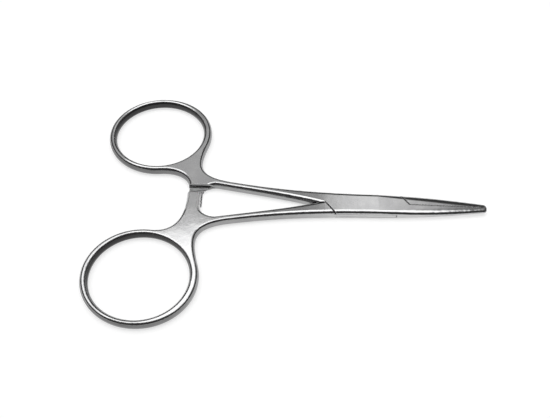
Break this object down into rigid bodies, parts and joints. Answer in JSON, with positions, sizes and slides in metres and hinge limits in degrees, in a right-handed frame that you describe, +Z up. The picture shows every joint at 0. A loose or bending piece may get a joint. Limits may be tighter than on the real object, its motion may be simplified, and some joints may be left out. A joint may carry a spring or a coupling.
{
  "type": "hemostat forceps",
  "caption": "Small straight hemostat forceps with finger rings, ratchet arms, a pinned box lock and serrated jaws.",
  "frame": {"origin": "on the pivot axis, at the underside of the box lock, on the plane that the tool lies on", "axes": "+X along the closed jaws to their tips, +Y towards the finger ring of the box half, +Z up along the pivot axis"},
  "size_m": [0.09, 0.0628, 0.0026],
  "materials": {
    "steel_box_half": "polished sides with satin flats",
    "steel_tongue_half": "polished sides with satin flats",
    "steel_pin": "satin, ground flush"
  },
  "bodies": {
    "box_side": {"box_half": "steel_box_half", "pivot_pin": "steel_pin"},
    "tongue_side": {"tongue_half": "steel_tongue_half"}
  },
  "joints": [
    {"name": "pivot", "type": "hinge", "parent": "box_side", "child": "tongue_side", "pos_m": [0, 0, 0], "axis": [0, 0, 1], "range_deg": [0, 75]}
  ]
}
